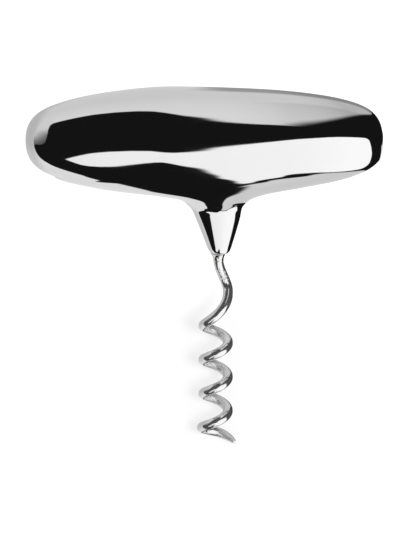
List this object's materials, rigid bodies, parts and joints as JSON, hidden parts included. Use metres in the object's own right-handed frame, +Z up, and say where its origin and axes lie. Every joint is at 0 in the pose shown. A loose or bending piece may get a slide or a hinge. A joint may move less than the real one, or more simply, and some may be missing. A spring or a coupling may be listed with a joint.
{
  "type": "corkscrew",
  "caption": "Plain T-handle corkscrew: rounded polished steel grip that flares into a conical stem, with a coiled wire worm ending in a ground point.",
  "frame": {"origin": "on the table, under the middle of the part's bounding box", "axes": "+Z up from the table that the tool lies on; +X along the bar of the handle, to the picture's right, within the 2 degrees that the bar rolls onto its straight flank; the worm points along -Y and slopes down until its last turn touches the table"},
  "size_m": [0.1, 0.1022, 0.0301],
  "materials": {
    "polished_shell": "mirror polished stainless steel",
    "turned_steel": "as turned",
    "braze": "polished silver braze",
    "worm_wire": "bright plated spring-steel wire, ground at the point"
  },
  "bodies": {
    "root": {"front_shell": "polished_shell", "rear_shell": "polished_shell", "anchor_cone": "turned_steel", "shank_pin": "turned_steel", "mouth_braze": "braze", "worm": "worm_wire"}
  },
  "joints": []
}
